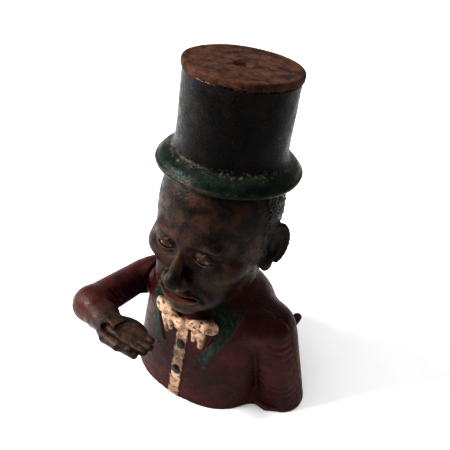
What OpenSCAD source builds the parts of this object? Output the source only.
// Cast-iron mechanical bank: a bust in a top hat that lifts a coin to its mouth.
// +Z is up, the bust faces -Y, and the origin is the middle of the base's underside.

/* [Casting] */
// Wall thickness of the two body castings
wall = 3.2; // [2.6:0.1:3.6]
// Y of the plane where the front and back castings meet
seam_y = -5; // [-5.5:0.5:-4.5]
// Height of the shoulders above the base
shoulder_z = 74; // [73:0.5:75]
// Radius of the sleeve that is cast on the bust's left side
sleeve_r = 16; // [15.5:0.1:16.5]

/* [Hat] */
// Outer radius of the crown
crown_r = 29.8; // [29:0.1:31]
// Height of the crown below its top plate
crown_h = 43; // [38:0.5:48]
// Thickness of the hat's top plate
hat_top_h = 3.8; // [3:0.1:5]
// Outer radius of the brim
brim_r = 40; // [38:0.5:42]
// How far the brim's edge droops below the crown
brim_drop = 8.9; // [7:0.1:10]
// Angle that the hat leans back
hat_lean = 9.5; // [8:0.5:11]

/* [Arm] */
// Height of the cross shaft that carries the arm and the lever
shaft_z = 48; // [47:0.5:49]
// Radius of the cross shaft
shaft_r = 3; // [2.5:0.1:3.2]
// Radius of the arm's round shoulder
hub_r = 14; // [12:0.5:15]
// Diameter of the coin that the hand carries
coin_d = 19.05; // [17:0.05:20]
// Width of the thumb lever
lever_w = 5; // [4:0.5:5.5]

/* [Face] */
// Height of the middle of the mouth slot
mouth_z = 91.5; // [91:0.1:92]
// Height of the mouth slot
mouth_h = 4.6; // [4.2:0.1:5]
// Width of the mouth slot
mouth_w = 25; // [22:0.5:26]
// Height of the eyes' axle
eye_z = 119; // [118.5:0.1:119.5]
// Radius of each eyeball
eye_r = 6; // [5.5:0.1:6.2]
// Distance from the middle of the face to each eye
eye_x = 12; // [11.5:0.1:12.5]

/* [Linkage] */
// Distance from each axle to its link pin
throw_r = 9; // [8:0.5:9.5]
// Angle of the cranks above level at rest
throw_a = 13; // [12:0.5:14]
// Radius of the link pins
pin_r = 1.2; // [1:0.1:1.3]

/* [Base] */
// Thickness of the base plate
plate_h = 3.2; // [2.8:0.1:3.6]
// Radius of the coin hole in the base plate
trap_r = 14; // [12:0.5:15]
// Thickness of the trap's cover
cover_h = 1.6; // [1.2:0.1:2]

/* [Hidden] */

run = 0.06;           // radial clearance of a running fit
gap = 0.05;           // gap between faces that rest on each other
big = 400;            // larger than the whole bust

// Colours
iron = [0.24, 0.21, 0.19];
jacket = [0.30, 0.07, 0.07];
hat_black = [0.05, 0.05, 0.05];
rust = [0.36, 0.19, 0.12];
brass = [0.70, 0.55, 0.30];
ivory = [0.85, 0.80, 0.68];
tongue_red = [0.45, 0.20, 0.17];

// Sections of the castings about the line (0, seam_y), each [height, size]
torso_w = [[0, 49.2], [4, 48], [25, 45.5], [48, 42.5], [60, 40], [68, 35.5], [shoulder_z, 28], [78, 20.5],
    [82, 19], [100, 17], [101, 1]];
torso_f = [[0, 43.5], [4, 42.2], [25, 37.8], [48, 32.2], [60, 28.5], [68, 25], [shoulder_z, 21], [78, 18],
    [82, 16], [100, 15], [101, 1]];
torso_b = [[0, 43], [4, 42.3], [25, 41.5], [48, 39], [60, 36], [68, 31], [shoulder_z, 26], [78, 21],
    [82, 20], [100, 20], [101, 1]];
head_w = [[70.9, 1], [71, 13], [73, 17], [76, 21], [80, 24.5], [86, 28], [94, 31], [105, 33.4], [115, 34.8],
    [125, 35.2], [135, 34.4], [145, 32.2], [152, 29.2], [158, 25], [163, 20.5], [167, 14.5], [170, 7]];
head_f = [[70.9, 1], [71, 28], [74, 32.5], [78, 34.5], [84, 35], [88, 35.8], [92, 36.6], [98, 36.4], [106, 36],
    [117, 35], [124, 34.6], [130, 33.4], [137, 31], [145, 27], [152, 21.8], [158, 17], [163, 12], [167, 7.5], [170, 2]];
head_b = [[70.9, 1], [71, 19], [80, 23], [90, 30], [100, 36], [110, 39.5], [120, 41.2], [130, 41.6], [140, 41],
    [147, 39.5], [152, 38], [158, 35], [163, 31], [167, 26], [170, 17]];
top_z = 170;          // top of the head, inside the hat

// Levels and directions of the castings' grid of points
levels = [0, 4, 14, 25, 36, 48, 54, 60, 64, 68, 71, 73, 76, 79, 82, 86, 92, 100, 108, 116, 124, 132, 140, 147,
    152, 158, 163, 167, 170];
inner_levels = [0, 4, 14, 25, 36, 48, 54, 60, 64, 68, 71, 74, 77, 80, 83, 86, 92, 100, 108, 116, 124, 132, 140,
    147, 152, 157, 161, 164, 166.5];
angle_step = 5;

function power_radius(a, w, d, n) = 1 / pow(pow(abs(cos(a)) / w, n) + pow(abs(sin(a)) / d, n), 1 / n);
function section(a, z, widths, fronts, backs, n) =
    power_radius(a, lookup(z, widths), sin(a) < 0 ? lookup(z, fronts) : lookup(z, backs), n);
// Far side of a circle of radius r about (cx, cy), or 0 where the ray misses it
function ray_circle(a, cx, cy, r) =
    let (along = cx * cos(a) + cy * sin(a), under = along * along - cx * cx - cy * cy + r * r)
    under > 0 && along > 0 ? along + sqrt(under) : 0;
function cap_radius(z, mid, r) = z < mid ? r : sqrt(max(r * r - (z - mid) * (z - mid), 0.01));
sleeve_top = shoulder_z - 2;
sleeve_cap_z = sleeve_top - sleeve_r;
// The sleeve leans in towards the shoulder, and its foot stands forward
sleeve_lean = 13;
sleeve_foot = [57.5, -7];
function sleeve_x(z) = sleeve_foot[0] - sleeve_lean * min(z, sleeve_cap_z) / shaft_z;
function sleeve_y(z) = sleeve_foot[1] + 4.5 * min(z / shaft_z, 1);
shoulder_x = -29;     // middle of the right shoulder's round cap
shoulder_r = 14.5;    // radius of that cap
torso_n = 2.4;        // how square the torso's sections are
head_n = 2.3;         // how square the head's are
function outer_r(a, z) = max(
    section(a, z, torso_w, torso_f, torso_b, torso_n),
    section(a, z, head_w, head_f, head_b, head_n),
    z < sleeve_top ? ray_circle(a, sleeve_x(z), sleeve_y(z), cap_radius(z, sleeve_cap_z, sleeve_r)) : 0,
    z < shoulder_z ? ray_circle(a, shoulder_x, 0, cap_radius(z, shoulder_z - shoulder_r, shoulder_r)) : 0);
// The hollow is the outer shape moved in by the wall, both sideways and down
function inner_r(a, z) = max(min(outer_r(a, z), outer_r(a, min(z + wall, top_z))) - wall, 1);

// Half of the casting between two angles, as one closed mesh
module half_casting(from) {
    angles = [for (a = [from : angle_step : from + 180]) a];
    n = len(angles);
    m = len(levels);
    outer = [for (z = levels, a = angles) let (r = outer_r(a, z)) [r * cos(a), seam_y + r * sin(a), z]];
    inner = [for (z = inner_levels, a = angles) let (r = inner_r(a, z)) [r * cos(a), seam_y + r * sin(a), z]];
    top_out = [[0, seam_y, top_z]];
    top_in = [[0, seam_y, inner_levels[m - 1]]];
    o = 0;
    i = n * m;
    ot = 2 * n * m;
    it = ot + 1;
    skin_out = [for (k = [0 : m - 2], j = [0 : n - 2])
        each [[o + k * n + j, o + (k + 1) * n + j, o + k * n + j + 1],
            [o + (k + 1) * n + j, o + (k + 1) * n + j + 1, o + k * n + j + 1]]];
    skin_in = [for (k = [0 : m - 2], j = [0 : n - 2])
        each [[i + k * n + j, i + k * n + j + 1, i + (k + 1) * n + j],
            [i + (k + 1) * n + j, i + k * n + j + 1, i + (k + 1) * n + j + 1]]];
    rim = [for (j = [0 : n - 2]) each [[o + j, o + j + 1, i + j], [o + j + 1, i + j + 1, i + j]]];
    crown_out = [for (j = [0 : n - 2]) [o + (m - 1) * n + j, ot, o + (m - 1) * n + j + 1]];
    crown_in = [for (j = [0 : n - 2]) [i + (m - 1) * n + j, i + (m - 1) * n + j + 1, it]];
    edges = [for (k = [0 : m - 2]) each [
        [o + k * n, i + k * n, o + (k + 1) * n],
        [i + k * n, i + (k + 1) * n, o + (k + 1) * n],
        [o + k * n + n - 1, o + (k + 1) * n + n - 1, i + k * n + n - 1],
        [i + k * n + n - 1, o + (k + 1) * n + n - 1, i + (k + 1) * n + n - 1]]];
    caps = [[o + (m - 1) * n, i + (m - 1) * n, ot], [i + (m - 1) * n, it, ot],
        [o + m * n - 1, ot, i + m * n - 1], [i + m * n - 1, ot, it]];
    polyhedron(concat(outer, inner, top_out, top_in),
        concat(skin_out, skin_in, rim, crown_out, crown_in, edges, caps), convexity = 8);
}

module along_x(x0, x1, y, z, r, sides = 48) {
    translate([x0, y, z]) rotate([0, 90, 0]) cylinder(h = x1 - x0, r = r, $fn = sides);
}
module along_y(y0, y1, x, z, r, sides = 48) {
    translate([x, y1, z]) rotate([90, 0, 0]) cylinder(h = y1 - y0, r = r, $fn = sides);
}

// Places of the axles and link pins, each [y, z]
shaft = [seam_y, shaft_z];
tongue_at = [-32, mouth_z - 6.5];
eye_at = [-30, eye_z];
throw = [throw_r * cos(throw_a), throw_r * sin(throw_a)];
crank_at = shaft + throw;
tongue_tail = tongue_at + throw;
eye_tail = eye_at + throw;
axle_r = 1.2;         // radius of the tongue's axle and the eyes' bar

// Screws that hold the castings together, and the base plate's screws
post_x = 26;
post_z = 20;
post_r = 4.5;
screw_r = 1.5;
head_r = 3.1;
post_back = 29.5;     // where the back posts' counterbores start
base_bosses = [-39.8, 31.2];
boss_r = 4.2;
boss_top = 12;

post_front = -34;     // where the front posts end, in the front wall
tongue_w = 16;        // width of the tongue
lug_w = 3.2;          // width of the lugs that carry the tongue's and the eyes' axles
eye_hole_r = 4.6;     // radius of the opening in front of each eye
face_y = -50;         // in front of the whole face

pad_x = -44.6;        // flat face that the arm's shoulder turns against
hub_x = pad_x - 0.4;  // the arm's own flat face
bearing_x = 54.6;     // inner face of the shaft's left bearing
shaft_end = 58;

module shaft_bores() {
    along_x(-48, -30, shaft[0], shaft[1], shaft_r + run);
    along_x(bearing_x - 1, shaft_end + 0.3, shaft[0], shaft[1], shaft_r + run);
}
module shaft_bosses() {
    along_x(pad_x, -38, shaft[0], shaft[1], hub_r - 1.5);
    along_x(bearing_x, shaft_end + 0.8, shaft[0], shaft[1], 6);
}

module front_shell() color(jacket) {
    difference() {
        union() {
            half_casting(-180);
            shaft_bosses();
            nose();
            bow_tie();
            for (side = [-1, 1]) {
                along_y(post_front, seam_y, side * post_x, post_z, post_r);
                tongue_lug(side);
                eye_lug(side);
            }
            head_collar();
            translate([0, base_bosses[0], plate_h + 0.1]) cylinder(h = boss_top - plate_h, r = boss_r, $fn = 48);
        }
        translate([-big / 2, seam_y, -big / 2]) cube(big);
        shaft_bores();
        translate([-mouth_w / 2, -48, mouth_z - mouth_h / 2]) cube([mouth_w, 15, mouth_h]);
        for (side = [-1, 1]) {
            along_y(face_y, eye_at[0], side * eye_x, eye_z, eye_hole_r);
            translate([side * eye_x, eye_at[0], eye_z]) sphere(r = eye_r + 0.35, $fn = 48);
            along_y(-30, seam_y + 1, side * post_x, post_z, screw_r);
        }
        along_x(-18, 18, tongue_at[0], tongue_at[1], axle_r + run);
        along_x(-22.4, 22.4, eye_at[0], eye_at[1], axle_r + run);
        translate([0, base_bosses[0], 0]) cylinder(h = boss_top - 1, r = screw_r, $fn = 48);
    }
}
module nose() hull() {
    translate([0, -39, 121]) sphere(r = 2.6, $fn = 20);
    translate([0, -47, 106]) sphere(r = 4, $fn = 20);
    for (side = [-1, 1]) translate([side * 5.6, -42.5, 103.5]) sphere(r = 3.2, $fn = 20);
}
// Ring on the head's dome that the hat sits over, drawn about the hat's axis
module head_collar() hat_frame() rotate_extrude($fn = 96)
    polygon([[23, -5.5], [31, -5.5], [31, -4.5], [crown_in - 0.1, 0.5], [crown_in - 0.1, 3], [23, 3]]);
module bow_tie() {
    along_y(-40, -30, 0, 64, 3.6);
    for (side = [-1, 1]) hull() {
        translate([0, -35, 64]) sphere(r = 2.4, $fn = 16);
        translate([side * 14, -31, 66]) sphere(r = 3, $fn = 16);
        translate([side * 14, -32.5, 58]) sphere(r = 3, $fn = 16);
    }
}
module tongue_lug(side)
    translate([side * (tongue_w / 2 + 0.4 + lug_w / 2) - lug_w / 2, -36.5, tongue_at[1] - 3]) cube([lug_w, 7.3, 6]);
module eye_lug(side)
    translate([side * (18.8 + lug_w / 2) - lug_w / 2, -32.4, eye_z - 3]) cube([lug_w, 5.4, 6]);

module back_shell() color(jacket) {
    difference() {
        union() {
            half_casting(0);
            shaft_bosses();
            for (side = [-1, 1]) {
                along_y(seam_y, 29.4, side * post_x, post_z, post_r);
                ear(side);
            }
            head_collar();
            translate([0, base_bosses[1], plate_h + 0.1]) cylinder(h = boss_top - plate_h, r = boss_r, $fn = 48);
        }
        translate([-big / 2, seam_y - big, -big / 2]) cube(big);
        shaft_bores();
        translate([lever_x - 0.8, seam_y + 3, 34.4]) cube([lever_w + 1.6, 20, 18]);
        for (side = [-1, 1]) {
            along_y(seam_y - 1, 40, side * post_x, post_z, screw_r + 0.2);
            along_y(post_back, 40, side * post_x, post_z, head_r + 0.3);
        }
        translate([0, base_bosses[1], 0]) cylinder(h = boss_top - 1, r = screw_r, $fn = 48);
        hat_frame() cylinder(h = 30, r = hat_screw_r + 0.3, $fn = 48);
    }
}
module ear(side) hull() {
    translate([side * 35.5, 4, 130]) sphere(r = 3.4, $fn = 16);
    translate([side * 37.5, 10, 125]) sphere(r = 3.2, $fn = 16);
    translate([side * 34, 1, 109]) sphere(r = 3, $fn = 16);
}

module shell_screws() color(iron) for (side = [-1, 1]) {
    tip = -22;
    along_y(tip, post_back, side * post_x, post_z, screw_r - 0.05);
    difference() {
        along_y(post_back + 0.05, post_back + 2.2, side * post_x, post_z, head_r);
        translate([side * post_x - 4, post_back + 1.3, post_z - 0.4]) cube([8, 3, 0.8]);
    }
}

// Everything on the hat is drawn about the hat's own axis
module hat_frame() translate([0, 8.3, 161.5]) rotate([-hat_lean, 0, 0]) children();
crown_in = crown_r - 3.2;
edge_r = 1.9;         // half the thickness of the brim's rounded edge

module hat() color(hat_black) hat_frame() rotate_extrude($fn = 120) polygon([
    [crown_in, crown_h], [crown_r + 0.4, crown_h], [crown_r + 0.2, crown_h - 4], [crown_r, 3],
    [crown_r + 1.4, 0.8], [brim_r - 5, -2.4],
    for (a = [60 : -20 : -60]) [brim_r - edge_r + edge_r * cos(a), -brim_drop + edge_r + edge_r * sin(a)],
    [brim_r - 3, -brim_drop - 0.3],
    [33.5, -7.2], [crown_in, 0.5]]);

module hat_top() color(rust) hat_frame() difference() {
    union() {
        translate([0, 0, crown_h + gap]) cylinder(h = hat_top_h - gap, r = crown_r + 0.5, $fn = 120);
        translate([0, 0, crown_h - 2.5]) cylinder(h = 2.6, r = crown_in - 0.2, $fn = 120);
    }
    translate([0, 0, crown_h - 3]) cylinder(h = 10, r = hat_screw_r + 0.3, $fn = 48);
    translate([0, 0, screw_seat]) cylinder(h = 3, r = 4.4, $fn = 48);
}
seat_h = 1.6;         // depth of the seat that the hat's screw lies in
screw_seat = crown_h + hat_top_h - seat_h;
hat_screw_r = 2;
nut_z = 1.2;          // top of the nut, under the head's dome, in the hat's frame
module hat_screw() color(rust) hat_frame() difference() {
    union() {
        translate([0, 0, -2]) cylinder(h = screw_seat + 2.1, r = hat_screw_r, $fn = 48);
        translate([0, 0, screw_seat + gap]) cylinder(h = 1.9, r1 = 3.9, r2 = 3.2, $fn = 48);
    }
    translate([-5, -0.5, screw_seat + 1.1]) cube([10, 1, 2]);
}
module hat_nut() color(iron) hat_frame() difference() {
    translate([0, 0, nut_z - 3]) rotate([0, 0, 45]) cylinder(h = 3, r = 5.4, $fn = 4);
    translate([0, 0, nut_z - 4]) cylinder(h = 6, r = hat_screw_r + 0.02, $fn = 48);
}

stud_at = [0, 14];     // pivot of the trap's cover
trap_at = [-20, 1];    // middle of the coin hole
stud_r = 2.5;
stud_head_r = 4.9;
base_screw_r = 1.45;
module base_plate() color(iron) difference() {
    linear_extrude(plate_h) polygon([for (a = [0 : angle_step : 359])
        let (r = inner_r(a, 4) - 0.5) [r * cos(a), seam_y + r * sin(a)]]);
    translate([trap_at[0], trap_at[1], -1]) cylinder(h = 9, r = trap_r, $fn = 96);
    translate([stud_at[0], stud_at[1], -1]) cylinder(h = 9, r = stud_r + run, $fn = 48);
    translate([stud_at[0], stud_at[1], -1]) cylinder(h = 2.5, r = stud_head_r + 0.3, $fn = 48);
    for (y = base_bosses) translate([0, y, 0]) {
        translate([0, 0, -1]) cylinder(h = 9, r = base_screw_r + 0.25, $fn = 48);
        translate([0, 0, -0.01]) cylinder(h = 1.8, r1 = 3.3, r2 = base_screw_r + 0.25, $fn = 48);
    }
}
module base_screws() color(iron) for (y = base_bosses) translate([0, y, 0]) difference() {
    union() {
        translate([0, 0, 0.1]) cylinder(h = 1.6, r1 = 3, r2 = base_screw_r, $fn = 48);
        translate([0, 0, 1.6]) cylinder(h = 8, r = base_screw_r, $fn = 48);
    }
    translate([-4, -0.4, -1]) cube([8, 0.8, 1.8]);
}
cover_z = plate_h + 0.15;
module trap_cover() color(iron) difference() {
    translate([0, 0, cover_z]) union() {
        translate([trap_at[0], trap_at[1], 0]) cylinder(h = cover_h, r = trap_r + 2, $fn = 96);
        translate([stud_at[0], stud_at[1], 0]) cylinder(h = cover_h, r = stud_r + 3.5, $fn = 48);
        translate([-14, 4, 0]) rotate([0, 0, 35]) translate([-3, -5, 0]) cube([18, 10, cover_h]);
    }
    translate([stud_at[0], stud_at[1], cover_z - 1]) cylinder(h = 9, r = stud_r + run, $fn = 48);
}
module trap_stud() color(brass) difference() {
    translate([stud_at[0], stud_at[1], 0]) union() {
        translate([0, 0, 0.15]) cylinder(h = 1.2, r = stud_head_r, $fn = 48);
        translate([0, 0, 0.15]) cylinder(h = cover_z + cover_h + 2.6, r = stud_r, $fn = 48);
    }
    translate([stud_at[0] - 6, stud_at[1] - 0.6, -1]) cube([12, 1.2, 1.9]);
}
module trap_nut() color(brass) translate([stud_at[0], stud_at[1], cover_z + cover_h + gap]) difference() {
    cylinder(h = 2.2, r = 2 * stud_r, $fn = 6);
    translate([0, 0, -1]) cylinder(h = 5, r = stud_r, $fn = 48);
}

// The arm's casting: shoulder, sleeve, forearm and a palm that holds the coin
upper_arm = [-53.5, -8, 48.2];
elbow = [-56, -55, 59.4];
wrist = [-37, -62.5, 63.5];
palm = [-15.5, -66];
palm_z = 69.5;        // height of the palm's flat dish
dish_r = coin_d / 2 + 0.5;
tips = [-2, -63.5, 67];
chute_a = 40;         // slant of the dish's open side
arm_end = -58.5;      // outer face of the arm's shoulder
arm_screw_r = 1.5;
cross_pin_r = 1;      // radius of the pins that fix the lever and the crank to the shaft
module right_arm() color(jacket) difference() {
    union() {
        along_x(arm_end, hub_x, shaft[0], shaft[1], hub_r);
        hull() {
            translate(upper_arm) sphere(r = 10.8, $fn = 28);
            translate(elbow) sphere(r = 10.8, $fn = 28);
        }
        hull() {
            translate(elbow) sphere(r = 10.6, $fn = 24);
            translate(wrist) sphere(r = 7.8, $fn = 24);
        }
        hull() {
            translate(wrist) sphere(r = 6, $fn = 20);
            translate([palm[0], palm[1], palm_z - 5]) cylinder(h = 6.2, r1 = 8.5, r2 = 11, $fn = 32);
        }
        hull() {
            translate([palm[0] + 2, palm[1], palm_z - 4]) cylinder(h = 5.2, r1 = 6.5, r2 = 9.5, $fn = 28);
            translate(tips) sphere(r = 3.6, $fn = 16);
            translate([tips[0] - 3, tips[1] + 5.5, tips[2]]) sphere(r = 3.2, $fn = 16);
        }
        hull() {
            translate([wrist[0] + 4, wrist[1] - 7, palm_z - 2]) sphere(r = 3.2, $fn = 16);
            translate([palm[0] + 3, palm[1] - 9.2, palm_z + 2]) sphere(r = 2.6, $fn = 16);
        }
    }
    translate([hub_x, -31, -big / 2]) cube(big);
    along_x(-70, -40, shaft[0], shaft[1], shaft_r);
    along_x(-75, arm_end + 2, shaft[0], shaft[1], 5.4);
    translate([palm[0], palm[1], palm_z]) cylinder(h = 1.6, r = dish_r, $fn = 64);
    // The way out of the dish slants towards the middle of the mouth
    translate([palm[0], palm[1], palm_z]) rotate([0, 0, -chute_a])
        translate([-dish_r, 0, 0]) cube([2 * dish_r, 30, 20]);
}
module arm_screw() color(rust) difference() {
    union() {
        along_x(arm_end - 0.4, arm_end + 2 - gap, shaft[0], shaft[1], 4.6);
        along_x(arm_end + 1.9, arm_end + 9, shaft[0], shaft[1], arm_screw_r);
    }
    translate([arm_end - 2, shaft[0] - 6, shaft[1] - 0.5]) cube([2.8, 12, 1]);
}
module arm_shaft() color(iron) difference() {
    along_x(arm_end + 2 + gap, shaft_end, shaft[0], shaft[1], shaft_r);
    along_x(arm_end - 1, arm_end + 11, shaft[0], shaft[1], arm_screw_r);
    along_z_hole(lever_x + lever_w / 2);
    along_z_hole(crank_x + crank_w / 2);
}
module along_z_hole(x) {
    translate([x, shaft[0], shaft[1] - 10]) cylinder(h = 20, r = cross_pin_r, $fn = 32);
}

lever_x = 48.8;
lever_tip = [20, 45.6];
lever_hub_r = 5.4;
module thumb_lever() color(iron) difference() {
    union() {
        along_x(lever_x, lever_x + lever_w, shaft[0], shaft[1], lever_hub_r);
        hull() {
            along_x(lever_x, lever_x + lever_w, shaft[0], shaft[1], 3.6, 32);
            along_x(lever_x, lever_x + lever_w, lever_tip[0] - 6, lever_tip[1], 2.6, 32);
        }
        hull() {
            along_x(lever_x, lever_x + lever_w, lever_tip[0] - 6, lever_tip[1], 2.6, 32);
            along_x(lever_x, lever_x + lever_w, lever_tip[0] - 1.6, lever_tip[1] + 1.6, 2.4, 32);
        }
    }
    along_x(lever_x - 1, lever_x + lever_w + 1, shaft[0], shaft[1], shaft_r);
    along_z_hole(lever_x + lever_w / 2);
}
module lever_pin() color(iron)
    translate([lever_x + lever_w / 2, shaft[0], shaft[1] - lever_hub_r - 0.2])
        cylinder(h = 2 * lever_hub_r + 0.4, r = cross_pin_r - 0.02, $fn = 32);

// Two flat cheeks joined by a bar, about an axle at a and a pin at b
module arm_plate(x0, x1, a, b, ra, rb) hull() {
    along_x(x0, x1, a[0], a[1], ra);
    along_x(x0, x1, b[0], b[1], rb);
}
crank_x = 6.4;
crank_w = 3;
crank_hub_r = 5.6;
link_x = 9.8;
link_w = 2;
link_end_r = 2.6;     // radius of the link's eyes
knee_r = 2.2;         // radius of its bends
module crank() color(iron) difference() {
    arm_plate(crank_x, crank_x + crank_w, shaft, crank_at, crank_hub_r, 3);
    along_x(crank_x - 1, crank_x + crank_w + 1, shaft[0], shaft[1], shaft_r);
    along_x(crank_x - 1, crank_x + crank_w + 1, crank_at[0], crank_at[1], pin_r);
    along_z_hole(crank_x + crank_w / 2);
}
module crank_pin() color(iron) {
    along_x(crank_x - 0.8, crank_x + 6.2, crank_at[0], crank_at[1], pin_r);
    translate([crank_x + crank_w / 2, shaft[0], shaft[1] - crank_hub_r - 0.6])
        cylinder(h = 2 * crank_hub_r + 1.2, r = cross_pin_r - 0.02, $fn = 32);
}
knee = [1.5, 62];     // where the link bends to clear the shaft
stem_at = [-19, 106]; // where the link steps in towards the eyes
stem_r = 1.8;
eye_link_x = 5.6;
module link_rod() color(iron) difference() {
    union() {
        arm_plate(link_x, link_x + link_w, crank_at, knee, link_end_r, knee_r);
        arm_plate(link_x, link_x + link_w, knee, tongue_tail, knee_r, link_end_r);
        arm_plate(link_x, link_x + link_w, tongue_tail, stem_at, link_end_r, stem_r);
        translate([eye_link_x, stem_at[0] - stem_r, stem_at[1] - stem_r])
            cube([link_x + link_w - eye_link_x, 2 * stem_r, 2 * stem_r]);
        arm_plate(eye_link_x, eye_link_x + link_w, stem_at, eye_tail, stem_r, link_end_r);
    }
    for (p = [crank_at, tongue_tail, eye_tail])
        along_x(0, 20, p[0], p[1], pin_r + run);
}
module link_washers() color(brass) {
    for (p = [crank_at, tongue_tail]) washer(link_x + link_w + gap, p);
    washer(eye_link_x + link_w + gap, eye_tail);
}
module washer(x, p) difference() {
    along_x(x, x + 0.7, p[0], p[1], 2.3);
    along_x(x - 1, x + 2, p[0], p[1], pin_r + run);
}

tongue_top = mouth_z - mouth_h / 2 - 0.4;
module tongue() color(tongue_red) difference() {
    union() {
        translate([-tongue_w / 2, tongue_at[0] - 2, tongue_top - 2.6]) cube([tongue_w, 18, 2.6]);
        along_x(-tongue_w / 2, tongue_w / 2, tongue_at[0], tongue_at[1], 2.1);
        translate([-tongue_w / 2, tongue_at[0] - 2, tongue_at[1]]) cube([tongue_w, 4, tongue_top - 1 - tongue_at[1]]);
        along_x(6, link_x - 0.4, tongue_tail[0], tongue_tail[1], 2.2);
    }
    along_x(-20, 20, tongue_at[0], tongue_at[1], axle_r + run);
    along_x(6, 20, tongue_tail[0], tongue_tail[1], pin_r);
}
module tongue_axle() color(iron) along_x(-12, 12, tongue_at[0], tongue_at[1], axle_r);
module tongue_pin() color(iron) along_x(6.1, link_x + 3.2, tongue_tail[0], tongue_tail[1], pin_r);

// A ball turned about its own bore, so that the bore stays a true one
bore_a = acos(axle_r / eye_r);
module eyeball(side) color(ivory) translate([side * eye_x, eye_at[0], eye_z]) rotate([0, 90, 0])
    rotate_extrude($fn = 64) polygon([for (i = [-10 : 10]) let (a = i * bore_a / 10)
        [eye_r * cos(a), eye_r * sin(a)]]);
module left_eye() eyeball(1);
module right_eye() eyeball(-1);
module eye_bar() color(iron) difference() {
    union() {
        along_x(-20.4, 20.4, eye_at[0], eye_z, axle_r);
        arm_plate(3, 5.2, eye_at, eye_tail, 2.4, 2.4);
    }
    along_x(2, 6, eye_tail[0], eye_tail[1], pin_r);
}
module eye_pin() color(iron) along_x(2.6, 8.8, eye_tail[0], eye_tail[1], pin_r);

front_shell();
back_shell();
shell_screws();
hat();
hat_top();
hat_screw();
hat_nut();
base_plate();
base_screws();
trap_cover();
trap_stud();
trap_nut();
arm_shaft();
right_arm();
arm_screw();
thumb_lever();
lever_pin();
crank();
crank_pin();
link_rod();
link_washers();
tongue();
tongue_axle();
tongue_pin();
left_eye();
right_eye();
eye_bar();
eye_pin();
